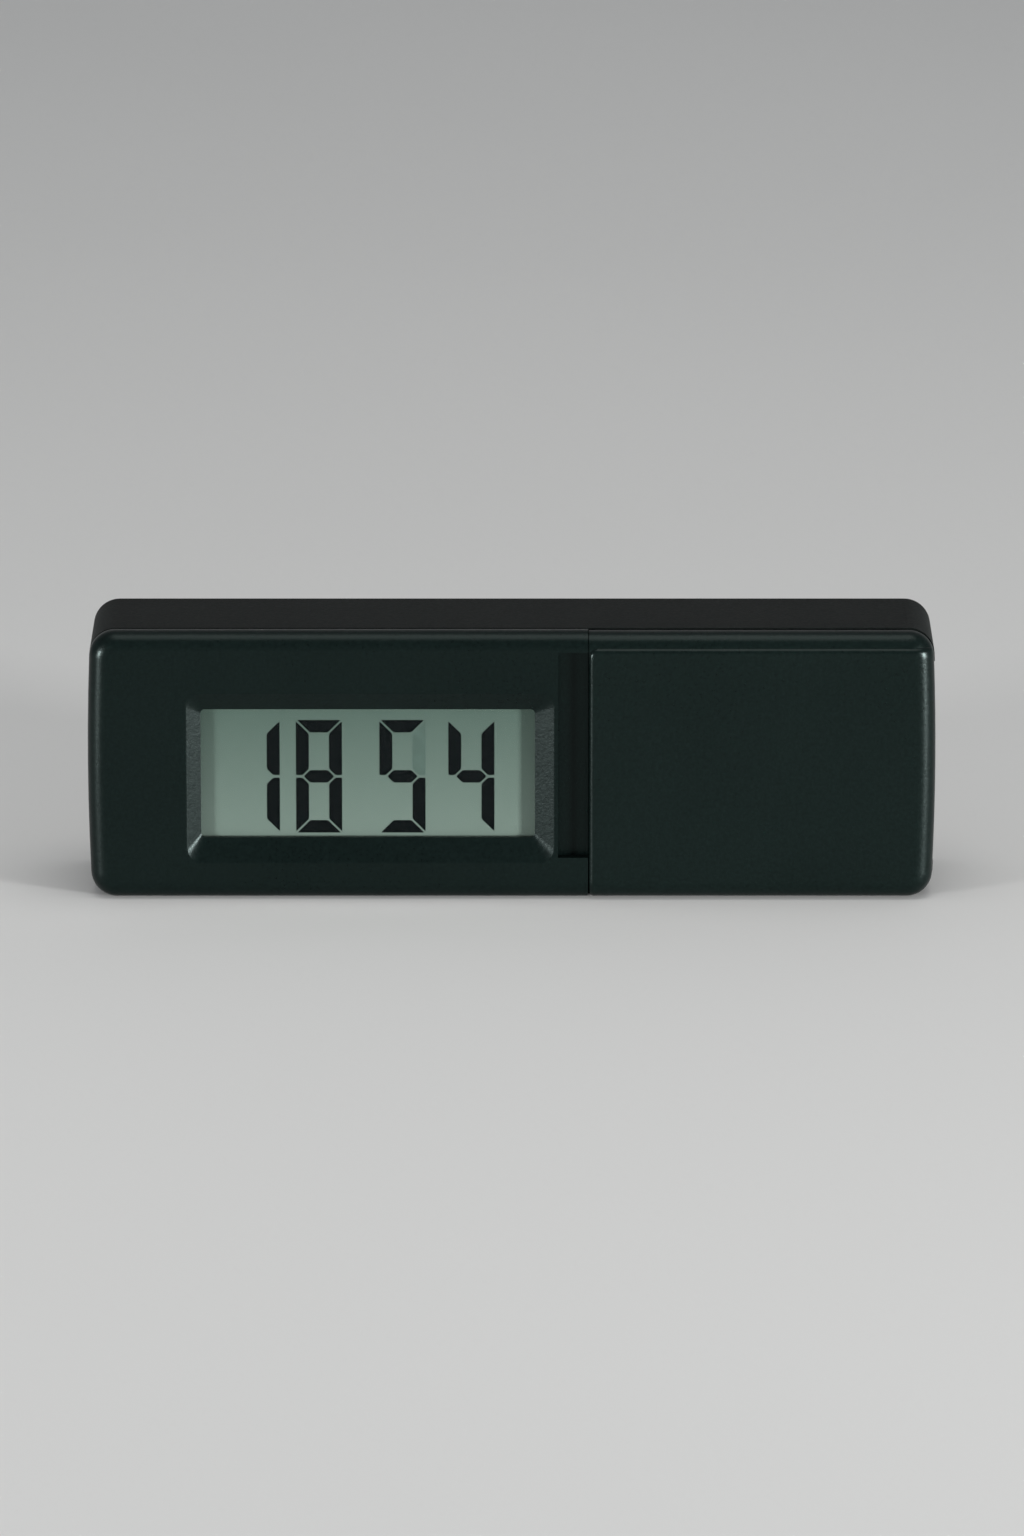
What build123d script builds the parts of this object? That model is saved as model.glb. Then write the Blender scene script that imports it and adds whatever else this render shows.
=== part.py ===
from build123d import *
import os

# Digital hygrometer for the inside of a cigar box lid, in millimetres.
# X runs along the case, left to right as it is read. Y runs from the display to the back. Z is up.
# The origin is on the ground, at the middle of the overall width and depth.

# ---- case ----
body_width = 96.0
body_height = 31.0
body_depth = 18.0
wall = 1.8
corner_radius = 3.0
end_bow = 0.4  # how far each end bulges at mid-height
fascia_depth = 2.4  # the bezel's plate and the battery cover lie in front of the seam
bezel_edge_radius = 2.0
rear_edge_radius = 1.0
seam_width = 0.5
seam_depth = 0.4
fit_gap = 0.1  # between parts that are pushed together and stay
slide_gap = 0.15  # between parts that slide past each other

# ---- bezel ----
lip_thickness = 1.0
lip_depth = 2.2
tray_floor = 1.2
tray_overlap = 2.4  # the tray joins the plate this far to the left of the cover
window_width = 37.8
window_height = 14.95
window_centre_x = -16.3
window_centre_z = 14.5
window_corner_radius = 0.5
window_lip = 0.2  # straight edge between the recess's slope and the lens
recess_left = 1.6  # how far the recess's rim lies outside the window, on each side
recess_right = 2.2
recess_low = 2.7
recess_high = 2.1
recess_depth = 1.1
recess_corner_radius = 1.6
recess_edge_radius = 0.45
channel_margin = 0.4  # between the recess and the channel
channel_width = 3.4
channel_low = 4.9
channel_high = 28.8
channel_depth = 1.5

# ---- battery cover ----
cover_inset = 0.1  # the cover's outline stays inside the case's, so it clears a table
cover_gap = 0.08  # between the bezel's plate and the cover
cover_skin = 1.5  # thickness of the cover over its hollow underside
panel_rise = 0.35  # the cover's face stands this far in front of the bezel's
panel_drop = 1.7  # the face stops this far below the top, behind a ledge level with the bezel
panel_edge_radius = 2.0
panel_corner_radius = 1.0
panel_rim_radius = 0.6
cover_rim = 2.0
end_tab_margin = 0.6  # the end tab is this much taller than the rails on each side
end_tab_depth = 3.4  # how far the end tab reaches behind the seam
rail_start = 4.4  # from the cover's left-hand edge
rail_margin = 1.7  # between the cell pockets and the rails
rail_stem = 1.0
rail_foot = 2.2
rail_foot_thickness = 1.0

# ---- display stack ----
lens_overlap = 1.0  # the lens reaches this far past the window on every side
lens_thickness = 0.8
lens_to_glass = 0.2
glass_margin = 1.2  # the glass reaches this far past the window at each end
rear_glass_margin = 1.1
glass_ledge = 1.8  # the front glass stands out past the rear one above and below
glass_thickness = 0.7
polariser_thickness = 0.2
polariser_margin = 0.6
holder_end_wall = 2.0
holder_side_wall = 0.8
holder_web = 1.1
zebra_width = 1.6
zebra_margin = 1.0
zebra_clearance = 0.25

# ---- board ----
board_thickness = 1.2
board_end_gap = 1.0  # between the board and the case's ends
board_side_gap = 0.8
board_corner_radius = 1.0
board_screw_inset = 7.4  # of the left-hand pair, from the case's end
board_screw_rise = 5.1  # of the left-hand pair, from mid-height
board_screw_x = 8.0  # of the right-hand pair
board_screw_edge = 5.0  # of the right-hand pair, from the case's sides
board_boss_radius = 1.9
board_screw_radius = 0.8
board_screw_length = 5.0
board_screw_head_radius = 1.5
board_screw_head = 0.9

# ---- case screws ----
case_screw_inset = 5.0  # of the left-hand pair, from the case's end
case_screw_edge = 5.2  # of the left-hand pair, from the case's sides
case_screw_right_inset = 4.8  # of the single right-hand one, from the case's end
case_boss_radius = 2.5
case_boss_proud = 0.9  # the bosses reach this far behind the board
case_tube_radius = 3.0
case_screw_radius = 1.0
case_screw_length = 9.6
case_screw_head_radius = 2.0
case_screw_head = 1.5
case_seat_thickness = 2.0
counterbore_radius = 2.3
clearance_radius = 1.2
screw_pilot_gap = 0.02
notch_margin = 0.4
cross_width = 0.5
cross_depth = 0.7

# ---- button cells, two LR44 in series ----
cell_radius = 5.8
cell_height = 5.4
cell_cap_radius = 4.9
cell_cap_height = 1.0
cell_gasket = 0.45
cell_edge_radius = 0.36
cell_seal_sink = 0.18
pocket_clearance = 0.2
pocket_margin = 0.8  # between the cover's left-hand edge and the first pocket
pocket_web = 0.6  # between the two pockets
pocket_wall = 1.0
pocket_floor = 0.9
cell_proud = 0.05  # the cells stand this far in front of the tray, to meet the bridge
contact_thickness = 0.25
contact_room = 0.85  # between a cell and its pocket's floor
contact_leg_width = 1.6
contact_leg_inset = 2.4  # from the pocket's wall
contact_tongue = 3.5  # from the cell's centre to the leaf's free end
contact_flat = 2.1  # length of the leaf that touches the cell
contact_slope = 3.0
bridge_width = 5.0
bridge_thickness = 0.3
bridge_reach = 3.9  # past the centre of each cell

# ---- buttons ----
button_margin = 0.15  # between the cell pocket's wall and the switches
button_rail_gap = 1.2  # between the buttons' flanges and the rails
button_radius = 2.2
button_flange_radius = 3.0
button_flange = 0.8
button_stem_radius = 1.2
button_recess = 0.1
button_hole_gap = 0.2
button_behind_tray = 0.2
switch_side = 4.5
switch_height = 3.5
plunger_radius = 1.2
plunger_proud = 0.6
plunger_seated = 0.5
plunger_room = 0.3  # left under the plunger when it is pressed
button_travel = 0.4

# ---- small electronics, behind the board ----
chip_cover_radius = 5.5
chip_cover_height = 1.5
crystal_radius = 1.0
crystal_length = 6.0
crystal_x = -2.0
crystal_rise = 5.0  # above mid-height
resistor_size = (1.6, 0.5, 0.8)
resistor_count = 5
resistor_pitch = 2.2
resistor_x = -30.0
capacitor_size = (2.0, 0.9, 1.25)
capacitor_count = 4
capacitor_pitch = 3.0
capacitor_x = 6.0
sensor_size = (4.0, 0.7, 8.4)
sensor_inset = 5.0  # from the case's end
sensor_stand = 2.4
sensor_pin_side = 0.5
sensor_pin_spread = 2.4
thermistor_radius = 0.9
thermistor_inset = 11.0  # from the case's end
thermistor_rise = 6.0  # above mid-height
thermistor_stand = 3.0

# ---- back of the case ----
magnet_radius = 5.0
magnet_thickness = 2.0
magnet_spread = 44.0
magnet_wall = 1.2
magnet_floor = 0.8
plate_width = 65.6
plate_height = 21.6
plate_thickness = 0.6
plate_corner_radius = 2.0
plate_gap = 0.2
pad_inset = 0.8
pad_thickness = 0.8
vent_count = 5
vent_pitch = 3.0
vent_width = 1.2
vent_margin_front = 4.6  # from the seam
vent_margin_back = 1.4  # from the back wall
rib_thickness = 1.0
rib_places = [-36.0, -8.0, 8.0, 31.0]
rib_reach = 3.4

# ---- places that follow from the sizes above ----
half_width = body_width / 2
middle = body_height / 2
front = (panel_rise - body_depth - pad_thickness) / 2
panel_front = front - panel_rise
seam = front + fascia_depth
back = front + body_depth
inside_back = back - wall
rooted = back - wall / 2  # ribs and tubes on the back wall start inside it
tray_back = seam + tray_floor
lip_back = seam + lip_depth

window = (window_centre_x, window_centre_z)
recess_width = window_width + recess_left + recess_right
recess_height = window_height + recess_low + recess_high
recess_centre_x = window_centre_x + (recess_right - recess_left) / 2
recess_centre_z = window_centre_z + (recess_high - recess_low) / 2
recess_floor = front + recess_depth
channel_left = recess_centre_x + recess_width / 2 + channel_margin
cover_edge = channel_left + channel_width  # the bezel's plate ends and the cover begins here
cover_left = cover_edge + cover_gap
cover_back = seam - fit_gap

lens_front = recess_floor + window_lip
lens_back = lens_front + lens_thickness
glass_width = window_width + 2 * glass_margin
rear_glass_height = window_height + 2 * rear_glass_margin
front_glass_height = rear_glass_height + 2 * glass_ledge
polariser_front = lens_back + lens_to_glass
front_glass_front = polariser_front + polariser_thickness
rear_glass_front = front_glass_front + glass_thickness
reflector_front = rear_glass_front + glass_thickness
reflector_back = reflector_front + polariser_thickness
holder_width = glass_width + 2 * holder_end_wall
holder_height = front_glass_height + 2 * holder_side_wall

pocket_radius = cell_radius + pocket_clearance
pocket_outer = pocket_radius + pocket_wall
cell_front = seam - cell_proud
cell_back = cell_front + cell_height
pocket_bottom = cell_back + contact_room
left_cell_x = cover_edge + pocket_margin + pocket_radius
right_cell_x = left_cell_x + 2 * pocket_radius + pocket_web
cell_places = [(left_cell_x, middle), (right_cell_x, middle)]
contact_leg_x = pocket_radius - contact_leg_inset

board_front = pocket_bottom + pocket_floor + fit_gap
board_back = board_front + board_thickness
board_screw_places = [
    (board_screw_inset - half_width, middle - board_screw_rise),
    (board_screw_inset - half_width, middle + board_screw_rise),
    (board_screw_x, board_screw_edge),
    (board_screw_x, body_height - board_screw_edge),
]
case_boss_back = board_back + case_boss_proud
case_seat = case_boss_back + fit_gap + case_seat_thickness
case_screw_places = [
    (case_screw_inset - half_width, case_screw_edge),
    (case_screw_inset - half_width, body_height - case_screw_edge),
    (half_width - case_screw_right_inset, middle),
]

rail_left = cover_edge + rail_start
rail_inner = pocket_outer + rail_margin  # from mid-height to the rail's stem
end_tab_reach = rail_inner + rail_foot + end_tab_margin
end_tab_back = seam + end_tab_depth
foot_front = tray_back + fit_gap
foot_back = foot_front + rail_foot_thickness

button_x = right_cell_x + pocket_outer + button_margin + switch_side / 2
button_rise = rail_inner - button_rail_gap - button_flange_radius  # above and below mid-height
button_front = seam + button_recess
flange_front = tray_back + button_behind_tray
flange_back = flange_front + button_flange
switch_front = board_front - switch_height
plunger_front = switch_front - plunger_proud

sensor_place = (sensor_inset - half_width, middle)
thermistor_place = (thermistor_inset - half_width, middle + thermistor_rise)
chip_cover_place = (window_centre_x, middle)
plate_front = back - plate_thickness
magnet_places = [(side * magnet_spread / 2, middle) for side in (-1, 1)]
magnet_front = plate_front - magnet_thickness
far_out = 2 * body_width


def facing(depth):
    """The plane at this depth that faces the front, drawn on in (x, z)."""
    return Plane((0, depth, 0), x_dir=(1, 0, 0), z_dir=(0, -1, 0))


def prism(section, near, far):
    """Solid whose front view is section, from depth near to depth far."""
    return extrude(facing(far) * section, amount=far - near)


def span(one, other):
    """The two values in rising order."""
    return min(one, other), max(one, other)


def block(x, y, z):
    """Box from its (low, high) along each axis."""
    spans = [x, y, z]
    centre = [(low + high) / 2 for low, high in spans]
    sides = [high - low for low, high in spans]
    return Pos(*centre) * Box(*sides)


def rod(place, radius, near, far):
    """Round bar along Y at an (x, z) place."""
    return prism(Pos(*place) * Circle(radius), near, far)


def plate(centre, width, height, near, far, radius=0.0):
    """Flat plate facing the front, with rounded corners if radius is given."""
    section = RectangleRounded(width, height, radius) if radius else Rectangle(width, height)
    return prism(Pos(*centre) * section, near, far)


def outline(inset=0.0):
    """Front view of the case drawn in by inset: flat top and bottom, ends that bow out a little."""
    reach = half_width - inset
    flank = reach - end_bow
    low = inset
    high = body_height - inset
    edges = [
        Line((-flank, high), (flank, high)),
        ThreePointArc((flank, high), (reach, middle), (flank, low)),
        Line((flank, low), (-flank, low)),
        ThreePointArc((-flank, low), (-reach, middle), (-flank, high)),
    ]
    section = make_face(edges)
    return fillet(section.vertices(), max(corner_radius - inset, fit_gap))


def faced(solid, radius):
    """The solid with its frontmost edges rounded."""
    return fillet(solid.faces().sort_by(Axis.Y)[0].edges(), radius)


def screw(place, seat, head_radius, head, shank_radius, length):
    """Pan-head screw that points to the front, its head's underside at depth seat."""
    body = rod(place, head_radius, seat, seat + head)
    body = fillet(body.faces().sort_by(Axis.Y)[-1].edges(), head / 2)
    slot_reach = head_radius * 0.6
    slots = plate(place, 2 * slot_reach, cross_width, seat + head - cross_depth, seat + head)
    slots += plate(place, cross_width, 2 * slot_reach, seat + head - cross_depth, seat + head)
    tip = rod(place, shank_radius, seat - length, seat)
    tip = chamfer(tip.faces().sort_by(Axis.Y)[0].edges(), shank_radius / 2)
    return body - slots + tip


# ---- the bezel ----
def display_recess():
    """The sloping sink that leads down to the display window."""
    rim = Pos(recess_centre_x, recess_centre_z) * RectangleRounded(
        recess_width, recess_height, recess_corner_radius
    )
    floor = Pos(*window) * RectangleRounded(window_width, window_height, window_corner_radius)
    return loft([facing(recess_floor) * floor, facing(front) * rim])


def finger_channel():
    """Upright channel beside the cover, where a fingernail pushes it open."""
    across = (channel_left, cover_left)
    return block(across, (front, front + channel_depth), (channel_low, channel_high))


def bezel_plate():
    """The visible left part of the fascia."""
    solid = faced(prism(outline(), front, seam), bezel_edge_radius)
    solid &= block((-far_out, cover_edge), (front, seam), (0, body_height))
    solid -= display_recess()
    face = solid.faces().sort_by(Axis.Y)[0]
    solid = fillet(face.inner_wires()[0].edges(), recess_edge_radius)
    solid -= finger_channel()
    opening = plate(window, window_width, window_height, recess_floor, seam, window_corner_radius)
    lens_seat = plate(
        window,
        window_width + 2 * (lens_overlap + fit_gap),
        window_height + 2 * (lens_overlap + fit_gap),
        lens_front,
        seam,
    )
    return solid - opening - lens_seat


def battery_tray():
    """The floor behind the cover, with the cell pockets, button holes and rail slots."""
    inner = outline(wall + fit_gap)
    solid = prism(inner, seam, tray_back)
    solid &= block((cover_edge - tray_overlap, far_out), (seam, tray_back), (0, body_height))
    for place in cell_places:
        solid += rod(place, pocket_outer, tray_back, pocket_bottom + pocket_floor)
    for place in cell_places:
        solid -= rod(place, pocket_radius, seam, pocket_bottom)
        solid -= contact_leg_hole(place)
    for sign in (-1, 1):
        solid -= rod(button_place(sign), button_radius + button_hole_gap, seam, tray_back)
        solid -= rail_path(sign)
    return solid


def contact_leg_hole(place):
    """The slot in a pocket's floor through which a contact's leg reaches the board."""
    x = place[0] + contact_leg_x
    reach = contact_leg_width / 2 + fit_gap
    return block(
        (x - fit_gap, x + contact_thickness + fit_gap),
        (pocket_bottom, board_back + 1),
        (middle - reach, middle + reach),
    )


def rail_path(sign):
    """The slot through the tray in which one rail's stem runs, open at the right-hand end."""
    inner = middle + sign * (rail_inner - slide_gap)
    outer = middle + sign * (rail_inner + rail_stem + slide_gap)
    return block((rail_left - slide_gap, far_out), (seam, tray_back), span(inner, outer))


def end_tab_span(margin=0.0):
    """Low and high ends of the cover's end tab, with a margin beyond each."""
    return middle - end_tab_reach - margin, middle + end_tab_reach + margin


def locating_lip():
    """The lip that registers the bezel inside the housing, left out where the cover's tab slides."""
    ring = outline(wall + fit_gap) - outline(wall + fit_gap + lip_thickness)
    solid = prism(ring, seam, lip_back)
    inner_end = half_width - wall - 2 * lip_thickness
    solid -= block((inner_end, far_out), (seam, lip_back), end_tab_span(slide_gap))
    holder_room = (holder_width + 2 * fit_gap, holder_height + 2 * fit_gap)
    return solid - plate(window, *holder_room, seam, lip_back)


def front_bezel():
    solid = bezel_plate() + battery_tray() + locating_lip()
    for place in board_screw_places:
        solid += rod(place, board_boss_radius, seam, board_front)
    for place in case_screw_places:
        root = seam if place[0] < cover_edge else tray_back
        solid += rod(place, case_boss_radius, root, case_boss_back)
    pilot_depth = board_front - board_screw_length + board_thickness
    for place in board_screw_places:
        solid -= rod(place, board_screw_radius + screw_pilot_gap, pilot_depth - fit_gap, board_front)
    for place in case_screw_places:
        pilot_end = case_seat - case_screw_length - fit_gap
        solid -= rod(place, case_screw_radius + screw_pilot_gap, pilot_end, case_boss_back)
    return solid


# ---- the housing ----
def rear_housing():
    solid = prism(outline(), seam, back)
    solid = fillet(solid.faces().sort_by(Axis.Y)[-1].edges(), rear_edge_radius)
    solid -= prism(outline(wall), seam, inside_back)
    solid -= prism(outline() - outline(seam_depth), seam, seam + seam_width)
    for x in rib_places:
        solid += stiffening_rib(x)
    for place in magnet_places:
        solid += rod(place, magnet_radius + magnet_wall, magnet_front - magnet_floor, rooted)
    for place in case_screw_places:
        solid += rod(place, case_tube_radius, case_boss_back + fit_gap, rooted)
    plate_width_cut = plate_width + 2 * plate_gap
    plate_height_cut = plate_height + 2 * plate_gap
    solid -= plate((0, middle), plate_width_cut, plate_height_cut, plate_front, back, plate_corner_radius)
    for place in magnet_places:
        solid -= rod(place, magnet_radius + fit_gap / 2, magnet_front, plate_front)
    for place in case_screw_places:
        solid -= rod(place, counterbore_radius, case_seat, back)
        solid -= rod(place, clearance_radius, case_boss_back, case_seat)
    return solid - vents() - end_notch()


def stiffening_rib(x):
    """Pair of short ribs that tie the back to the top and bottom walls."""
    across = (x - rib_thickness / 2, x + rib_thickness / 2)
    along = (inside_back - rib_reach, rooted)
    reach = wall + rib_reach
    low = block(across, along, (wall / 2, reach))
    high = block(across, along, (body_height - reach, body_height - wall / 2))
    return low + high


def vents():
    """Slots through the left-hand end, beside the sensors."""
    first = middle - vent_pitch * (vent_count - 1) / 2
    slots = Part()
    for i in range(vent_count):
        z = first + vent_pitch * i
        slots += block(
            (-far_out, 2 * wall - half_width),
            (seam + vent_margin_front, inside_back - vent_margin_back),
            (z - vent_width / 2, z + vent_width / 2),
        )
    return slots


def end_notch():
    """The opening in the right-hand end that the cover's tab fills."""
    along = (seam, end_tab_back + slide_gap)
    return block((half_width - 2 * wall, far_out), along, end_tab_span(slide_gap))


# ---- the battery cover ----
def cover_ledge():
    """The cover's top strip, which carries on the bezel's rounded upper edge."""
    solid = faced(prism(outline(cover_inset), front, cover_back), bezel_edge_radius)
    low = body_height - 2 * panel_drop
    return solid & block((cover_left, far_out), (front, cover_back), (low, body_height))


def cover_panel():
    """The cover's proud face, well rounded where it meets the case's edges."""
    solid = faced(prism(outline(cover_inset), panel_front, cover_back), panel_edge_radius)
    high = body_height - panel_drop
    section = Pos((cover_left + far_out) / 2, high / 2) * Rectangle(far_out - cover_left, high)
    corner = section.vertices().sort_by(Axis.X)[:2].sort_by(Axis.Y)[-1]
    solid &= prism(fillet(corner, panel_corner_radius), panel_front, cover_back)
    face = solid.faces().sort_by(Axis.Y)[0]
    rim = [e for e in face.edges() if e.center().X < cover_left + panel_corner_radius]
    rim += face.edges().filter_by(Axis.X).sort_by(Axis.Z)[-1:]
    return fillet(rim, panel_rim_radius)


def battery_cover():
    solid = cover_ledge() + cover_panel()
    solid -= cover_hollow()
    solid += end_tab()
    for sign in (-1, 1):
        solid += cover_rail(sign)
    return solid - bridge_seat()


def cover_hollow():
    """Two shallow reliefs under the cover, above and below the strip that bears on the cells."""
    across = (cover_left + cover_rim, button_x - button_radius - cover_rim)
    along = (front + cover_skin, cover_back)
    inner = bridge_width
    outer = rail_inner - slide_gap
    low = block(across, along, (middle - outer, middle - inner))
    high = block(across, along, (middle + inner, middle + outer))
    return low + high


def end_tab():
    """The tongue that closes the notch in the case's end, with ribs for a thumb."""
    ring = outline(cover_inset) - outline(wall)
    tab = prism(ring, cover_back - fit_gap, end_tab_back)
    return tab & block((half_width - 2 * wall, far_out), (front, end_tab_back), end_tab_span())


def cover_rail(sign):
    """L-shaped rail under the cover: a stem through the tray and a foot hooked behind it."""
    inner = middle + sign * rail_inner
    stem = middle + sign * (rail_inner + rail_stem)
    foot = middle + sign * (rail_inner + rail_foot)
    right = half_width - wall
    bar = block((rail_left, right), (cover_back, foot_back), span(inner, stem))
    return bar + block((rail_left, right), (foot_front, foot_back), span(inner, foot))


def bridge_span():
    """Left and right ends of the strip that joins the two cells."""
    return left_cell_x - bridge_reach, right_cell_x + bridge_reach


def bridge_seat():
    left, right = bridge_span()
    half = bridge_width / 2 + fit_gap
    return block(
        (left - fit_gap, right + fit_gap),
        (cell_front - bridge_thickness, cover_back),
        (middle - half, middle + half),
    )


def cell_bridge():
    """Flat strip in the cover that joins the cells in series."""
    left, right = bridge_span()
    half = bridge_width / 2
    return block((left, right), (cell_front - bridge_thickness, cell_front), (middle - half, middle + half))


# ---- cells and contacts ----
def cell_can(place, inward):
    """The cell's can, with a cup for the seal and the cap. Inward is +1 where the cap faces the front."""
    mouth = cap_face(inward)
    body = rod(place, cell_radius, cell_front, cell_back)
    body = fillet(body.edges(), cell_edge_radius)
    return body - rod(place, cell_cap_radius + cell_gasket, *span(mouth, mouth + inward * cell_cap_height))


def cap_face(inward):
    """Depth of the cell's face that holds the cap."""
    return cell_front if inward > 0 else cell_back


def cell_cap(place, inward):
    """The negative cap, flush with the end of the can."""
    mouth = cap_face(inward)
    return rod(place, cell_cap_radius, *span(mouth, mouth + inward * cell_cap_height))


def cell_seal(place, inward):
    """The insulating ring between the can and the cap."""
    mouth = cap_face(inward)
    depths = span(mouth + inward * cell_seal_sink, mouth + inward * cell_cap_height)
    return rod(place, cell_cap_radius + cell_gasket, *depths) - rod(place, cell_cap_radius, *depths)


def cell_contact(place):
    """Bent leaf spring on a pocket's floor, with a leg through to the board."""
    leg = place[0] + contact_leg_x
    tip = place[0] - contact_tongue
    bend = tip + contact_flat
    rise = bend + contact_slope
    t = contact_thickness
    floor = pocket_bottom
    leaf = Polyline(
        (leg + t, floor - t),
        (leg + t, board_back),
        (leg, board_back),
        (leg, floor),
        (rise - t / 2, floor),
        (bend - t / 2, cell_back + t),
        (tip, cell_back + t),
        (tip, cell_back),
        (bend, cell_back),
        (rise, floor - t),
        close=True,
    )
    low = middle - contact_leg_width / 2
    section = Plane((0, 0, low), x_dir=(1, 0, 0), z_dir=(0, 0, 1)) * make_face(leaf)
    return extrude(section, amount=contact_leg_width)


# ---- buttons ----
def button_place(sign):
    return button_x, middle + sign * button_rise


def button(sign):
    """Cap with a retaining flange and a stem that presses the switch."""
    place = button_place(sign)
    cap = rod(place, button_radius, button_front, flange_front)
    cap = faced(cap, button_hole_gap)
    cap += rod(place, button_flange_radius, flange_front, flange_back)
    return cap + rod(place, button_stem_radius, flange_back, plunger_front)


def switch_body(sign):
    place = button_place(sign)
    body = plate(place, switch_side, switch_side, switch_front, board_front)
    bore_back = switch_front + plunger_seated + button_travel + plunger_room
    return body - rod(place, plunger_radius + fit_gap, switch_front, bore_back)


def switch_plunger(sign):
    return rod(button_place(sign), plunger_radius, plunger_front, switch_front + plunger_seated)


# ---- display ----
def display_window():
    width = window_width + 2 * lens_overlap
    height = window_height + 2 * lens_overlap
    return plate(window, width, height, lens_front, lens_back)


def film(near):
    """The polariser in front of the glass, or the reflector behind it."""
    width = glass_width - 2 * polariser_margin
    height = rear_glass_height - polariser_margin
    return plate(window, width, height, near, near + polariser_thickness)


def lcd_glass(height, near):
    return plate(window, glass_width, height, near, near + glass_thickness)


def zebra_place(sign):
    """Middle of the upper or lower zebra strip, on the ledge of the front glass."""
    return window_centre_x, window_centre_z + sign * (rear_glass_height + glass_ledge) / 2


def zebra_strip(sign):
    length = glass_width - 2 * zebra_margin
    return plate(zebra_place(sign), length, zebra_width, rear_glass_front, board_front)


def lcd_holder():
    """Frame on the board that carries the glass and the zebra strips."""
    solid = plate(window, holder_width, holder_height, front_glass_front, board_front)
    seat = glass_width + 2 * fit_gap
    front_seat = front_glass_height + 2 * fit_gap
    rear_seat = rear_glass_height + 2 * fit_gap
    solid -= plate(window, seat, front_seat, front_glass_front, rear_glass_front)
    solid -= plate(window, seat, rear_seat, rear_glass_front, reflector_back)
    slot_length = glass_width - 2 * zebra_margin + 2 * fit_gap
    slot_width = zebra_width + zebra_clearance
    for sign in (-1, 1):
        solid -= plate(zebra_place(sign), slot_length, slot_width, rear_glass_front, board_front)
    hollow_width = glass_width - 2 * holder_web
    hollow_height = rear_glass_height - 2 * holder_web
    return solid - plate(window, hollow_width, hollow_height, reflector_back + holder_web, board_front)


# ---- board and what is on it ----
def boss_notch(place):
    """The corner or edge of the board that is left out round a case screw's boss."""
    x, z = place
    reach = case_tube_radius + notch_margin
    side = -1 if x < 0 else 1
    low = 0 if z < middle else z - reach
    high = body_height if z > middle else z + reach
    across = span(x - side * reach, side * body_width)
    return block(across, (board_front, board_back), (low, high))


def main_board():
    width = body_width - 2 * (wall + board_end_gap)
    height = body_height - 2 * (wall + board_side_gap)
    solid = plate((0, middle), width, height, board_front, board_back, board_corner_radius)
    for place in case_screw_places:
        solid -= boss_notch(place)
    for place in board_screw_places:
        solid -= rod(place, board_screw_radius + fit_gap, board_front, board_back)
    for place in cell_places:
        solid -= contact_leg_hole(place)
    return solid


def chip_cover():
    """Drop of resin over the bonded chip."""
    drop = rod(chip_cover_place, chip_cover_radius, board_back, board_back + chip_cover_height)
    return fillet(drop.faces().sort_by(Axis.Y)[-1].edges(), chip_cover_height * 0.9)


def timing_crystal():
    centre = Pos(crystal_x, board_back + crystal_radius, middle + crystal_rise)
    can = centre * Rot(0, 90, 0) * Cylinder(crystal_radius, crystal_length)
    return fillet(can.faces().sort_by(Axis.X)[0].edges(), crystal_radius / 4)


def chips(size, x, count, pitch):
    """Upright row of small surface-mount blocks behind the board, centred on mid-height."""
    wide, tall, high = size
    rises = [pitch * (i - (count - 1) / 2) for i in range(count)]
    return [plate((x, middle + rise), wide, high, board_back, board_back + tall) for rise in rises]


def humidity_sensor():
    wide, thick, high = sensor_size
    near = board_back + sensor_stand
    return plate(sensor_place, wide, high, near, near + thick)


def sensor_pins():
    x, z = sensor_place
    half = sensor_pin_side / 2
    far = board_back + sensor_stand
    heights = [z + side * sensor_pin_spread / 2 for side in (-1, 1)]
    return [
        block((x - half, x + half), (board_back, far), (height - half, height + half))
        for height in heights
    ]


def thermistor():
    """Glass bead on two short leads."""
    x, z = thermistor_place
    centre = board_back + thermistor_stand
    bead = Pos(x, centre, z) * Sphere(thermistor_radius)
    half = sensor_pin_side / 2
    for side in (-1, 1):
        lead = x + side * half * 1.6
        reach = half / 2
        bead += block((lead - reach, lead + reach), (board_back, centre), (z - reach, z + reach))
    return bead


# ---- fixing to the lid ----
def magnet(place):
    return rod(place, magnet_radius, magnet_front, plate_front)


def steel_plate():
    centre = (0, middle)
    return plate(centre, plate_width, plate_height, plate_front, back, plate_corner_radius)


def adhesive_pad():
    width = plate_width - 2 * pad_inset
    height = plate_height - 2 * pad_inset
    far = back + pad_thickness
    return plate((0, middle), width, height, back, far, plate_corner_radius - pad_inset)


def case_screws():
    sizes = (case_screw_head_radius, case_screw_head, case_screw_radius, case_screw_length)
    return [screw(place, case_seat, *sizes) for place in case_screw_places]


def board_screws():
    sizes = (board_screw_head_radius, board_screw_head, board_screw_radius, board_screw_length)
    return [screw(place, board_back, *sizes) for place in board_screw_places]


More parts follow.
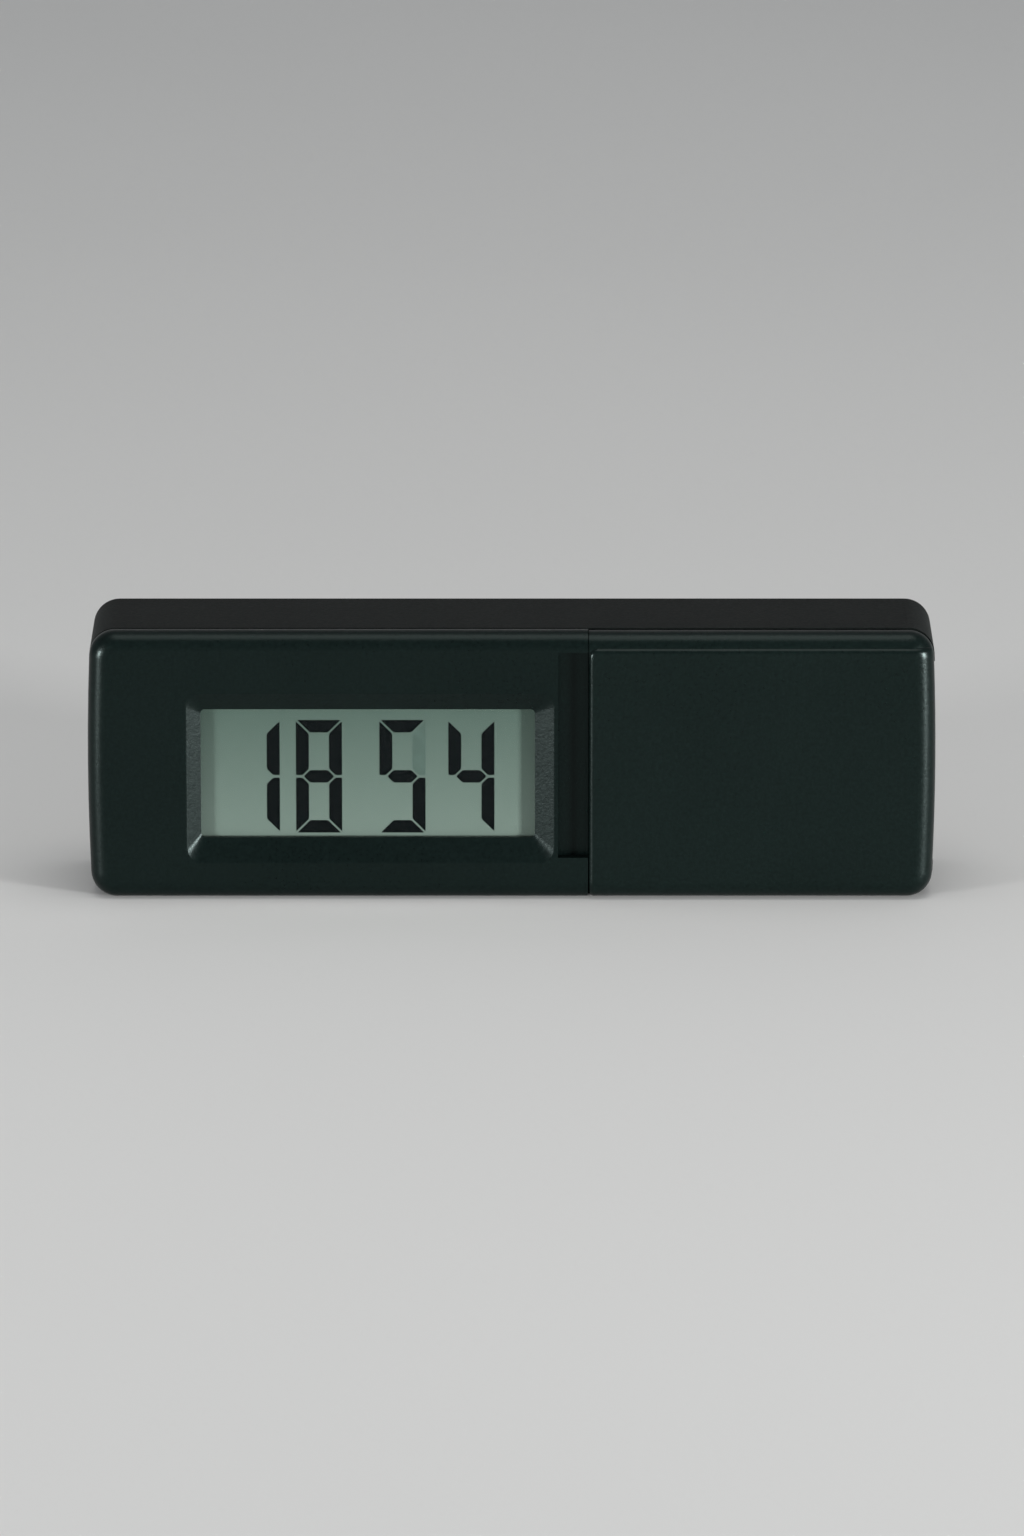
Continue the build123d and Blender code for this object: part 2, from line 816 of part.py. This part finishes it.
def sub_parts():
    """Every sub-part by its node name."""
    left_cell, right_cell = cell_places
    left_magnet, right_magnet = magnet_places
    return {
        "front_bezel": front_bezel(),
        "rear_housing": rear_housing(),
        "display_window": display_window(),
        "lcd_polariser": film(polariser_front),
        "lcd_front_glass": lcd_glass(front_glass_height, front_glass_front),
        "lcd_rear_glass": lcd_glass(rear_glass_height, rear_glass_front),
        "lcd_reflector": film(reflector_front),
        "lcd_holder": lcd_holder(),
        "zebra_strip_upper": zebra_strip(1),
        "zebra_strip_lower": zebra_strip(-1),
        "main_board": main_board(),
        "chip_cover": chip_cover(),
        "timing_crystal": timing_crystal(),
        "smd_resistors": chips(resistor_size, resistor_x, resistor_count, resistor_pitch),
        "smd_capacitors": chips(capacitor_size, capacitor_x, capacitor_count, capacitor_pitch),
        "humidity_sensor": humidity_sensor(),
        "humidity_sensor_pins": sensor_pins(),
        "thermistor": thermistor(),
        "upper_switch_body": switch_body(1),
        "lower_switch_body": switch_body(-1),
        "upper_switch_plunger": switch_plunger(1),
        "lower_switch_plunger": switch_plunger(-1),
        "upper_button": button(1),
        "lower_button": button(-1),
        "left_cell_can": cell_can(left_cell, -1),
        "left_cell_cap": cell_cap(left_cell, -1),
        "left_cell_seal": cell_seal(left_cell, -1),
        "right_cell_can": cell_can(right_cell, 1),
        "right_cell_cap": cell_cap(right_cell, 1),
        "right_cell_seal": cell_seal(right_cell, 1),
        "left_cell_contact": cell_contact(left_cell),
        "right_cell_contact": cell_contact(right_cell),
        "cell_bridge": cell_bridge(),
        "battery_cover": battery_cover(),
        "case_screws": case_screws(),
        "board_screws": board_screws(),
        "left_magnet": magnet(left_magnet),
        "right_magnet": magnet(right_magnet),
        "steel_plate": steel_plate(),
        "adhesive_pad": adhesive_pad(),
    }


os.makedirs("parts", exist_ok=True)
for name, made in sub_parts().items():
    shape = Compound(children=made) if isinstance(made, list) else made
    export_step(shape, f"parts/{name}.step")
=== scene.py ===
import math

import bmesh
import bpy
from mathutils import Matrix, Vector


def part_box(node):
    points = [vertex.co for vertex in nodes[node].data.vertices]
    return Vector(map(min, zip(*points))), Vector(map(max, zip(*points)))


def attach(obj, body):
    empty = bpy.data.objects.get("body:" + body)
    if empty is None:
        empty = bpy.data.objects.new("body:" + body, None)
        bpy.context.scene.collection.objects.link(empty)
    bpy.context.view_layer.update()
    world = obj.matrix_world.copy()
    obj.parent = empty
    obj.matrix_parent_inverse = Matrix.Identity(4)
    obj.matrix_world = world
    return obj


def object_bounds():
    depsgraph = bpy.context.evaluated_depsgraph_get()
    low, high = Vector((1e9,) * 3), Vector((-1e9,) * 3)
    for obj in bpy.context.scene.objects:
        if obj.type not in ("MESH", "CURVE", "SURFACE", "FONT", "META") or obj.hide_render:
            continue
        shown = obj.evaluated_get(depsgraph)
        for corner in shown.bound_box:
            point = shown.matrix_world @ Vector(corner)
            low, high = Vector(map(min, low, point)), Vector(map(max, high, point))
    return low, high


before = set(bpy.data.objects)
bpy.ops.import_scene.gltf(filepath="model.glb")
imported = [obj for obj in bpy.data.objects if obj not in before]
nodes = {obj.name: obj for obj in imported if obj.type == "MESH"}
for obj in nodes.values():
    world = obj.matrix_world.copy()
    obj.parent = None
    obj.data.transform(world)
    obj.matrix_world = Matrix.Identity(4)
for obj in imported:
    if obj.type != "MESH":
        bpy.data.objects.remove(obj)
cad_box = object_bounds()
MM = 0.001

# ---- the camera ----
CAMERA_ELEVATION = math.radians(14.4)
CAMERA_DISTANCE = 1.217
SENSOR = 36.0  # along the picture's long side
PICTURE_SHORT_TO_LONG = 1024 / 1536
FILLED = 0.83  # share of the picture's width that the object takes

# ---- the display's digits ----
DIGITS = "1854"
DIGIT_LEFTS = (3.7, 10.75, 20.2, 28.0)  # from the window's left edge, mm
DIGIT_WIDTH = 5.2
DIGIT_HEIGHT = 13.15
DIGIT_BASE = 0.25  # above the window's lower edge, mm
STROKE = 1.45
SEGMENT_GAP = 0.22
SEGMENT_CORNER = 0.14
SEGMENT_THICKNESS = 0.02
LENS_OVERLAP = 1.0  # the lens reaches this far past its window
# Which of the seven segments each digit lights: a top, b and c right, d bottom, e and f left, g middle.
LIT = {"1": "bc", "8": "abcdefg", "5": "afgcd", "4": "fgbc"}
GHOST = (2, "b")  # the digit and segment that shows faintly while unlit


# ---- the lights: place and (width, height) in metres, then watts ----
TOP_LIGHT = ((0.05, -0.1, 0.9), (0.6, 0.5), 2.2)
LEFT_STRIP = ((-0.63, -0.45, 0.056), (0.13, 0.1), 6.2)
RIGHT_STRIP = ((0.63, -0.45, 0.056), (0.13, 0.1), 10.5)
WORLD_COLOUR = (0.93, 0.96, 1.0, 1.0)
WORLD_STRENGTH = 0.32
WARM_WHITE = (1.0, 0.98, 0.95)

# ---- the floor, in metres ----
FLOOR_REACH = 3.0  # to each side, to the front, and up the backdrop
FLOOR_DEPTH = 1.6  # where it starts to curve up
FLOOR_RADIUS = 0.5
FLOOR_STEPS = 16

# The colour mixing node's sockets, which share their names with its other kinds.
MIX_FIRST = 6
MIX_SECOND = 7
MIX_RESULT = 2


# ---- node helpers ----
def material(name, **values):
    """A new material and its shader, with the shader's own sockets set."""
    made = bpy.data.materials.new(name)
    made.use_nodes = True
    shader = made.node_tree.nodes["Principled BSDF"]
    for socket, value in values.items():
        shader.inputs[socket.replace("_", " ")].default_value = value
    return made, shader


def add(tree, kind, **settings):
    """A new node with its own settings."""
    node = tree.nodes.new(kind)
    for name, value in settings.items():
        setattr(node, name, value)
    return node


def place(tree, stretch=(1, 1, 1)):
    """The object's own coordinates in metres, stretched along each axis."""
    coordinates = add(tree, "ShaderNodeTexCoord")
    mapping = add(tree, "ShaderNodeMapping")
    mapping.inputs["Scale"].default_value = stretch
    tree.links.new(coordinates.outputs["Object"], mapping.inputs["Vector"])
    return mapping.outputs["Vector"]


def noise(tree, scale, detail=2.0, roughness=0.5, stretch=(1, 1, 1)):
    """Noise with this many features to the metre."""
    node = add(tree, "ShaderNodeTexNoise")
    node.inputs["Scale"].default_value = scale
    node.inputs["Detail"].default_value = detail
    node.inputs["Roughness"].default_value = roughness
    tree.links.new(place(tree, stretch), node.inputs["Vector"])
    return node.outputs["Fac"]


def ramp(tree, source, *stops):
    """Colours along a value, from (position, colour) stops."""
    node = add(tree, "ShaderNodeValToRGB")
    elements = node.color_ramp.elements
    while len(elements) < len(stops):
        elements.new(0.5)
    for element, (position, colour) in zip(elements, stops):
        element.position = position
        element.color = (*colour, 1.0)
    tree.links.new(source, node.inputs["Fac"])
    return node.outputs["Color"]


def spread(tree, source, low, high, start=0.0, end=1.0):
    """A value from low to high as source goes from start to end."""
    node = add(tree, "ShaderNodeMapRange")
    for socket, value in (("From Min", start), ("From Max", end), ("To Min", low), ("To Max", high)):
        node.inputs[socket].default_value = value
    tree.links.new(source, node.inputs["Value"])
    return node.outputs["Result"]


def mixed(tree, share, first, second):
    """Two colour outputs mixed by a value output."""
    node = add(tree, "ShaderNodeMix", data_type="RGBA")
    tree.links.new(share, node.inputs["Factor"])
    tree.links.new(first, node.inputs[MIX_FIRST])
    tree.links.new(second, node.inputs[MIX_SECOND])
    return node.outputs[MIX_RESULT]


def maths(tree, operation, first, second=None):
    """A maths node on outputs or plain numbers."""
    node = add(tree, "ShaderNodeMath", operation=operation)
    for index, value in enumerate((first, second)):
        if value is None:
            continue
        if isinstance(value, (int, float)):
            node.inputs[index].default_value = value
        else:
            tree.links.new(value, node.inputs[index])
    return node.outputs["Value"]


def bump(tree, shader, height, depth):
    """Relief of this depth in metres under the shader."""
    node = add(tree, "ShaderNodeBump")
    node.inputs["Distance"].default_value = depth
    node.inputs["Strength"].default_value = 1.0
    tree.links.new(height, node.inputs["Height"])
    tree.links.new(node.outputs["Normal"], shader.inputs["Normal"])


def axis_value(tree, axis):
    """One of the object's own coordinates, in metres."""
    split = add(tree, "ShaderNodeSeparateXYZ")
    tree.links.new(place(tree), split.inputs["Vector"])
    return split.outputs[axis]


# ---- materials ----
def moulded(name, dark, light, roughness=0.5, grain=2600.0, depth=0.02 * MM, shine=0.5):
    """Spark-textured moulding: a fine grain in colour, gloss and relief over slow, faint clouds."""
    made, shader = material(name, Specular_IOR_Level=shine, Specular_Tint=(0.8, 1.0, 0.97, 1.0))
    tree = made.node_tree
    fine = noise(tree, grain, detail=3.0, roughness=0.65)
    slow = noise(tree, 55.0, detail=2.0)
    both = maths(tree, "ADD", maths(tree, "MULTIPLY", fine, 0.75), maths(tree, "MULTIPLY", slow, 0.25))
    tree.links.new(ramp(tree, both, (0.36, dark), (0.64, light)), shader.inputs["Base Color"])
    gloss = spread(tree, both, roughness - 0.05, roughness + 0.05, 0.3, 0.7)
    tree.links.new(gloss, shader.inputs["Roughness"])
    bump(tree, shader, fine, depth)
    return made


def metal(name, colour, roughness, brushed=(1, 1, 1), scale=900.0):
    """Metal with fine directional marks."""
    made, shader = material(name, Metallic=1.0)
    tree = made.node_tree
    marks = noise(tree, scale, detail=4.0, roughness=0.6, stretch=brushed)
    worn = tuple(0.82 * c for c in colour)
    tree.links.new(ramp(tree, marks, (0.35, worn), (0.65, colour)), shader.inputs["Base Color"])
    gloss = spread(tree, marks, roughness - 0.06, roughness + 0.1, 0.3, 0.7)
    tree.links.new(gloss, shader.inputs["Roughness"])
    bump(tree, shader, marks, 0.004 * MM)
    return made


def pane(name, tint, index, gloss=0.04):
    """Thin clear sheet: what is behind shows through its tint, and it mirrors a little."""
    made = bpy.data.materials.new(name)
    made.use_nodes = True
    tree = made.node_tree
    tree.nodes.remove(tree.nodes["Principled BSDF"])
    clear = add(tree, "ShaderNodeBsdfTransparent")
    clear.inputs["Color"].default_value = (*tint, 1.0)
    mirror = add(tree, "ShaderNodeBsdfAnisotropic")
    smears = noise(tree, 120.0, detail=3.0)
    tree.links.new(spread(tree, smears, gloss, gloss + 0.05, 0.3, 0.7), mirror.inputs["Roughness"])
    edge = add(tree, "ShaderNodeFresnel")
    edge.inputs["IOR"].default_value = index
    join = add(tree, "ShaderNodeMixShader")
    tree.links.new(edge.outputs["Fac"], join.inputs["Fac"])
    tree.links.new(clear.outputs["BSDF"], join.inputs[1])
    tree.links.new(mirror.outputs["BSDF"], join.inputs[2])
    tree.links.new(join.outputs["Shader"], tree.nodes["Material Output"].inputs["Surface"])
    return made


def display_film_with_painted_shade(name, node, upper, lower):
    """Grey-green film of the display, from its lower edge's colour to its upper edge's: painted shade,
    darker at the top where the recess's upper edge shades it.
    """
    made, shader = material(name, Roughness=0.45, Specular_IOR_Level=0.1)
    tree = made.node_tree
    low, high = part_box(node)
    # Painted shade: the colour darkens from the film's lower edge to its upper edge, standing in for the
    # recess's shadow; the grain is random tone.
    painted_shade_rise = spread(tree, axis_value(tree, "Z"), 0.0, 1.0, low.z, high.z)
    grain = maths(tree, "MULTIPLY", noise(tree, 4000.0, detail=2.0), 0.12)
    painted_shade_and_grain = maths(tree, "ADD", painted_shade_rise, maths(tree, "SUBTRACT", grain, 0.06))
    colour = ramp(tree, painted_shade_and_grain, (0.0, lower), (1.0, upper))
    tree.links.new(colour, shader.inputs["Base Color"])
    return made


def segment_ink(name, colour):
    """Liquid-crystal segment with a faint uneven density."""
    made, shader = material(name, Roughness=0.5, Specular_IOR_Level=0.05)
    tree = made.node_tree
    light = tuple(1.2 * c for c in colour)
    uneven = ramp(tree, noise(tree, 900.0), (0.35, colour), (0.65, light))
    tree.links.new(uneven, shader.inputs["Base Color"])
    return made


def circuit_board():
    """Green solder mask over a grid of copper tracks."""
    made, shader = material("circuit_board", Roughness=0.35, Specular_IOR_Level=0.5)
    tree = made.node_tree
    tracks = add(tree, "ShaderNodeTexBrick", offset=0.5, offset_frequency=2, squash=0.6, squash_frequency=3)
    tracks.inputs["Scale"].default_value = 1.0
    tracks.inputs["Mortar Size"].default_value = 0.22 * MM
    tracks.inputs["Mortar Smooth"].default_value = 0.3
    tracks.inputs["Brick Width"].default_value = 5.3 * MM
    tracks.inputs["Row Height"].default_value = 1.4 * MM
    turned = add(tree, "ShaderNodeMapping")
    turned.inputs["Rotation"].default_value = (math.pi / 2, 0, 0)
    tree.links.new(place(tree), turned.inputs["Vector"])
    tree.links.new(turned.outputs["Vector"], tracks.inputs["Vector"])
    wanted = spread(tree, noise(tree, 130.0, detail=1.0), 0.0, 1.0, 0.46, 0.52)
    share = maths(tree, "MULTIPLY", tracks.outputs["Fac"], wanted)
    mask = ramp(tree, noise(tree, 500.0), (0.3, (0.006, 0.075, 0.028)), (0.7, (0.009, 0.1, 0.038)))
    copper = ramp(tree, noise(tree, 700.0), (0.3, (0.03, 0.2, 0.07)), (0.7, (0.045, 0.25, 0.09)))
    tree.links.new(mixed(tree, share, mask, copper), shader.inputs["Base Color"])
    bump(tree, shader, share, 0.035 * MM)
    return made


def chip_block(name, body, pitch_axis, length, node):
    """Surface-mount block with a dark or tan body and tinned ends."""
    made, shader = material(name, Specular_IOR_Level=0.5)
    tree = made.node_tree
    low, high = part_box(node)
    centre = (low + high) / 2
    offset = maths(tree, "SUBTRACT", axis_value(tree, pitch_axis), centre["XYZ".index(pitch_axis)])
    tinned = spread(tree, maths(tree, "ABSOLUTE", offset), 0.0, 1.0, length * 0.29, length * 0.31)
    shade = tuple(1.3 * c for c in body)
    plain = ramp(tree, noise(tree, 2500.0), (0.3, body), (0.7, shade))
    tin = ramp(tree, noise(tree, 2500.0), (0.3, (0.5, 0.5, 0.48)), (0.7, (0.68, 0.67, 0.64)))
    tree.links.new(mixed(tree, tinned, plain, tin), shader.inputs["Base Color"])
    tree.links.new(tinned, shader.inputs["Metallic"])
    tree.links.new(spread(tree, tinned, 0.55, 0.3), shader.inputs["Roughness"])
    return made


def sensor_comb():
    """White ceramic with dark interleaved electrodes."""
    made, shader = material("sensor_comb", Roughness=0.5)
    tree = made.node_tree
    waves = add(tree, "ShaderNodeTexWave", wave_type="BANDS", bands_direction="Z")
    waves.inputs["Scale"].default_value = 320.0
    waves.inputs["Distortion"].default_value = 0.15
    tree.links.new(place(tree), waves.inputs["Vector"])
    low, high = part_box("humidity_sensor")
    centre = (low + high) / 2
    across = maths(tree, "ABSOLUTE", maths(tree, "SUBTRACT", axis_value(tree, "X"), centre.x))
    inside = spread(tree, across, 1.0, 0.0, 1.35 * MM, 1.4 * MM)
    comb = maths(tree, "MULTIPLY", spread(tree, waves.outputs["Fac"], 0.0, 1.0, 0.45, 0.55), inside)
    white = ramp(tree, noise(tree, 1500.0), (0.3, (0.6, 0.61, 0.58)), (0.7, (0.7, 0.7, 0.67)))
    carbon = ramp(tree, noise(tree, 1500.0), (0.3, (0.04, 0.04, 0.042)), (0.7, (0.07, 0.07, 0.07)))
    tree.links.new(mixed(tree, comb, white, carbon), shader.inputs["Base Color"])
    bump(tree, shader, comb, 0.03 * MM)
    return made


def zebra_rubber():
    """Silicone strip of thin conducting and insulating layers."""
    made, shader = material("zebra_rubber", Roughness=0.6)
    tree = made.node_tree
    waves = add(tree, "ShaderNodeTexWave", wave_type="BANDS", bands_direction="X")
    waves.inputs["Scale"].default_value = 1700.0
    tree.links.new(place(tree), waves.inputs["Vector"])
    layers = ramp(tree, waves.outputs["Fac"], (0.45, (0.03, 0.03, 0.032)), (0.55, (0.5, 0.42, 0.4)))
    tree.links.new(layers, shader.inputs["Base Color"])
    return made


def foam():
    """Closed-cell foam tape: small round cells in relief."""
    made, shader = material("foam_tape", Roughness=0.9, Specular_IOR_Level=0.2)
    tree = made.node_tree
    cells = add(tree, "ShaderNodeTexVoronoi", feature="F1")
    cells.inputs["Scale"].default_value = 2400.0
    tree.links.new(place(tree), cells.inputs["Vector"])
    size = spread(tree, cells.outputs["Distance"], 0.0, 1.0, 0.1, 0.75)
    colour = ramp(tree, size, (0.0, (0.02, 0.02, 0.021)), (1.0, (0.06, 0.06, 0.062)))
    tree.links.new(colour, shader.inputs["Base Color"])
    bump(tree, shader, size, 0.06 * MM)
    return made


def amber_bead():
    """Glossy bead of glass with an uneven amber tint."""
    made, shader = material("amber_bead", Roughness=0.12, Coat_Weight=0.5)
    tree = made.node_tree
    colour = ramp(tree, noise(tree, 1200.0), (0.3, (0.22, 0.08, 0.02)), (0.7, (0.4, 0.18, 0.05)))
    tree.links.new(colour, shader.inputs["Base Color"])
    return made


def node_materials():
    """The material of every CAD node."""
    case = moulded("case_plastic", (0.0005, 0.0021, 0.0018), (0.0015, 0.0042, 0.0037), 0.31, shine=0.18)
    shell = moulded("housing_plastic", (0.0026, 0.0035, 0.0032), (0.0062, 0.0076, 0.0071), 0.5, shine=0.05)
    # The cover's plastic is the case's plastic made a little lighter: painted light, for the extra light
    # the cover's panel catches.
    cover = moulded("cover_plastic_painted_lighter", (0.0007, 0.0025, 0.0021), (0.0018, 0.0048, 0.0042), 0.31, shine=0.19)
    white = moulded("white_plastic", (0.58, 0.58, 0.55), (0.68, 0.68, 0.65), 0.45, grain=1500.0)
    black = moulded("switch_plastic", (0.012, 0.012, 0.012), (0.02, 0.02, 0.02), 0.45, grain=3500.0)
    grey = moulded("button_plastic", (0.13, 0.135, 0.135), (0.17, 0.175, 0.175), 0.5, grain=3200.0)
    seal = moulded("seal_nylon", (0.02, 0.02, 0.02), (0.04, 0.04, 0.04), 0.55, grain=3200.0)
    resin = moulded("black_resin", (0.008, 0.008, 0.008), (0.014, 0.014, 0.014), 0.22, grain=600.0)
    steel = metal("cell_steel", (0.62, 0.61, 0.59), 0.3, brushed=(1, 1, 0.08))
    nickel = metal("nickel", (0.66, 0.62, 0.56), 0.24, brushed=(0.2, 1, 1))
    zinc = metal("zinc_screw", (0.5, 0.51, 0.53), 0.34, scale=1800.0)
    sheet = metal("zinc_sheet", (0.45, 0.46, 0.48), 0.42, scale=260.0)
    clear = pane("clear_lens", (0.985, 0.995, 0.99), 1.1)
    # Both display films carry painted shade: dark at the top, light at the bottom.
    film = display_film_with_painted_shade("polariser", "lcd_polariser", (0.051, 0.077, 0.065), (0.112, 0.145, 0.127))
    backing = display_film_with_painted_shade("reflector", "lcd_reflector", (0.2, 0.27, 0.24), (0.34, 0.45, 0.4))
    glass = pane("display_glass", (0.99, 0.995, 0.99), 1.04, gloss=0.1)
    resistors = chip_block("resistor", (0.014, 0.014, 0.015), "X", 1.6 * MM, "smd_resistors")
    capacitors = chip_block("capacitor", (0.3, 0.2, 0.12), "X", 2.0 * MM, "smd_capacitors")
    return {
        case: ["front_bezel"],
        shell: ["rear_housing"],
        cover: ["battery_cover"],
        white: ["lcd_holder", "upper_switch_plunger", "lower_switch_plunger"],
        black: ["upper_switch_body", "lower_switch_body"],
        grey: ["upper_button", "lower_button"],
        seal: ["left_cell_seal", "right_cell_seal"],
        resin: ["chip_cover"],
        steel: ["left_cell_can", "right_cell_can", "left_cell_cap", "right_cell_cap"],
        nickel: [
            "left_cell_contact", "right_cell_contact", "cell_bridge", "timing_crystal",
            "humidity_sensor_pins", "left_magnet", "right_magnet",
        ],
        zinc: ["case_screws", "board_screws"],
        sheet: ["steel_plate"],
        clear: ["display_window"],
        film: ["lcd_polariser"],
        glass: ["lcd_front_glass", "lcd_rear_glass"],
        backing: ["lcd_reflector"],
        zebra_rubber(): ["zebra_strip_upper", "zebra_strip_lower"],
        circuit_board(): ["main_board"],
        resistors: ["smd_resistors"],
        capacitors: ["smd_capacitors"],
        sensor_comb(): ["humidity_sensor"],
        amber_bead(): ["thermistor"],
        foam(): ["adhesive_pad"],
    }


def dress_nodes():
    """Gives every CAD node its material."""
    bare = set(nodes)
    for made, names in node_materials().items():
        for name in names:
            slots = nodes[name].material_slots
            for slot in slots:
                slot.material = made
            bare.discard(name)
    assert not bare, bare


# ---- the display's digits ----
def segment_outlines():
    """The seven segments of one digit as outlines in (x, z), in mm from its lower left corner."""
    width = DIGIT_WIDTH
    height = DIGIT_HEIGHT
    stroke = STROKE
    half = stroke / 2
    centre = height / 2
    gap = SEGMENT_GAP * 0.7
    top = [
        (gap, height), (width - gap, height),
        (width - stroke - gap, height - stroke), (stroke + gap, height - stroke),
    ]
    upper_left = [
        (0, height - gap), (0, centre + gap), (half, centre + gap),
        (stroke, centre + half + gap), (stroke, height - stroke - gap),
    ]
    middle = [
        (half + gap, centre), (stroke + gap, centre + half), (width - stroke - gap, centre + half),
        (width - half - gap, centre), (width - stroke - gap, centre - half), (stroke + gap, centre - half),
    ]
    bottom = [(x, height - z) for x, z in top]
    lower_left = [(x, height - z) for x, z in upper_left]
    return {
        "a": top,
        "b": [(width - x, z) for x, z in upper_left],
        "c": [(width - x, z) for x, z in lower_left],
        "d": bottom,
        "e": lower_left,
        "f": upper_left,
        "g": middle,
    }


def segments_mesh(name, wanted):
    """Thin plates for the (digit index, segment) pairs wanted, in front of the display's film."""
    low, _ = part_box("display_window")
    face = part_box("lcd_polariser")[0].y
    left = low.x + LENS_OVERLAP * MM
    base = low.z + (LENS_OVERLAP + DIGIT_BASE) * MM
    outlines = segment_outlines()
    bm = bmesh.new()
    for index, letter in wanted:
        start = left + DIGIT_LEFTS[index] * MM
        corners = [(start + x * MM, face, base + z * MM) for x, z in outlines[letter]]
        bm.faces.new([bm.verts.new(corner) for corner in corners])
    bmesh.ops.bevel(
        bm, geom=bm.verts[:], offset=SEGMENT_CORNER * MM, segments=3, affect="VERTICES", profile=0.5
    )
    front = bmesh.ops.extrude_face_region(bm, geom=bm.faces[:])["geom"]
    moved = [v for v in front if isinstance(v, bmesh.types.BMVert)]
    bmesh.ops.translate(bm, verts=moved, vec=(0, -SEGMENT_THICKNESS * MM, 0))
    bmesh.ops.recalc_face_normals(bm, faces=bm.faces[:])
    mesh = bpy.data.meshes.new(name)
    bm.to_mesh(mesh)
    bm.free()
    made = bpy.data.objects.new(name, mesh)
    bpy.context.collection.objects.link(made)
    return made


def display_digits():
    """The lit segments, and one unlit segment that still shows faintly."""
    lit = [(index, letter) for index, digit in enumerate(DIGITS) for letter in LIT[digit]]
    shown = segments_mesh("lcd_segments", lit)
    shown.data.materials.append(segment_ink("segment_ink", (0.0012, 0.0022, 0.0024)))
    ghost = segments_mesh("lcd_ghost_segment", [GHOST])
    ghost.data.materials.append(segment_ink("ghost_ink", (0.05, 0.074, 0.064)))
    for piece in (shown, ghost):
        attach(piece, "case")


# ---- the studio ----
def floor_sheet():
    """Pale floor that curves up into a backdrop."""
    profile = [(-FLOOR_REACH, 0.0)]
    for i in range(FLOOR_STEPS + 1):
        angle = math.pi / 2 * i / FLOOR_STEPS
        along = FLOOR_DEPTH + FLOOR_RADIUS * math.sin(angle)
        profile.append((along, FLOOR_RADIUS * (1 - math.cos(angle))))
    profile.append((FLOOR_DEPTH + FLOOR_RADIUS, FLOOR_REACH))
    bm = bmesh.new()
    rows = [[bm.verts.new((side * FLOOR_REACH, y, z)) for y, z in profile] for side in (-1, 1)]
    for i in range(len(profile) - 1):
        bm.faces.new([rows[0][i], rows[1][i], rows[1][i + 1], rows[0][i + 1]])
    mesh = bpy.data.meshes.new("studio_floor")
    bm.to_mesh(mesh)
    bm.free()
    for polygon in mesh.polygons:
        polygon.use_smooth = True
    floor = bpy.data.objects.new("studio_floor", mesh)
    bpy.context.collection.objects.link(floor)
    made, shader = material("studio_floor", Roughness=0.7, Specular_IOR_Level=0.2)
    tree = made.node_tree
    colour = ramp(tree, noise(tree, 3.0), (0.3, (0.72, 0.72, 0.71)), (0.7, (0.75, 0.75, 0.74)))
    tree.links.new(colour, shader.inputs["Base Color"])
    mesh.materials.append(made)


def soft_light(name, aim, spot, size, energy, colour=(1, 1, 1)):
    """Rectangular area light at spot, turned to aim."""
    data = bpy.data.lights.new(name, "AREA")
    data.shape = "RECTANGLE"
    data.size, data.size_y = size
    data.energy = energy
    data.color = colour
    lamp = bpy.data.objects.new(name, data)
    lamp.location = spot
    lamp.rotation_euler = (aim - Vector(spot)).to_track_quat("-Z", "Y").to_euler()
    bpy.context.collection.objects.link(lamp)


def lights(aim):
    """Pale surroundings, a soft light overhead and a low strip at each side for the edges."""
    world = bpy.data.worlds.new("studio")
    world.use_nodes = True
    background = world.node_tree.nodes["Background"]
    background.inputs["Color"].default_value = WORLD_COLOUR
    background.inputs["Strength"].default_value = WORLD_STRENGTH
    bpy.context.scene.world = world
    soft_light("top", aim, *TOP_LIGHT, WARM_WHITE)
    soft_light("left_strip", aim, *LEFT_STRIP)
    soft_light("right_strip", aim, *RIGHT_STRIP)


def camera(centre):
    """Looks at the middle of the front from the front and a little above."""
    data = bpy.data.cameras.new("camera")
    data.sensor_width = SENSOR
    width = (cad_box[1] - cad_box[0]).x
    seen = width / FILLED / PICTURE_SHORT_TO_LONG
    data.lens = SENSOR * CAMERA_DISTANCE / seen
    back = Vector((0, -math.cos(CAMERA_ELEVATION), math.sin(CAMERA_ELEVATION)))
    made = bpy.data.objects.new("camera", data)
    made.location = centre + back * CAMERA_DISTANCE
    made.rotation_euler = (-back).to_track_quat("-Z", "Y").to_euler()
    bpy.context.collection.objects.link(made)
    bpy.context.scene.camera = made


low, high = cad_box
front_centre = Vector(((low.x + high.x) / 2, low.y, (low.z + high.z) / 2))
dress_nodes()
display_digits()
floor_sheet()
lights(front_centre)
camera(front_centre)
bpy.context.scene.view_settings.view_transform = "Standard"
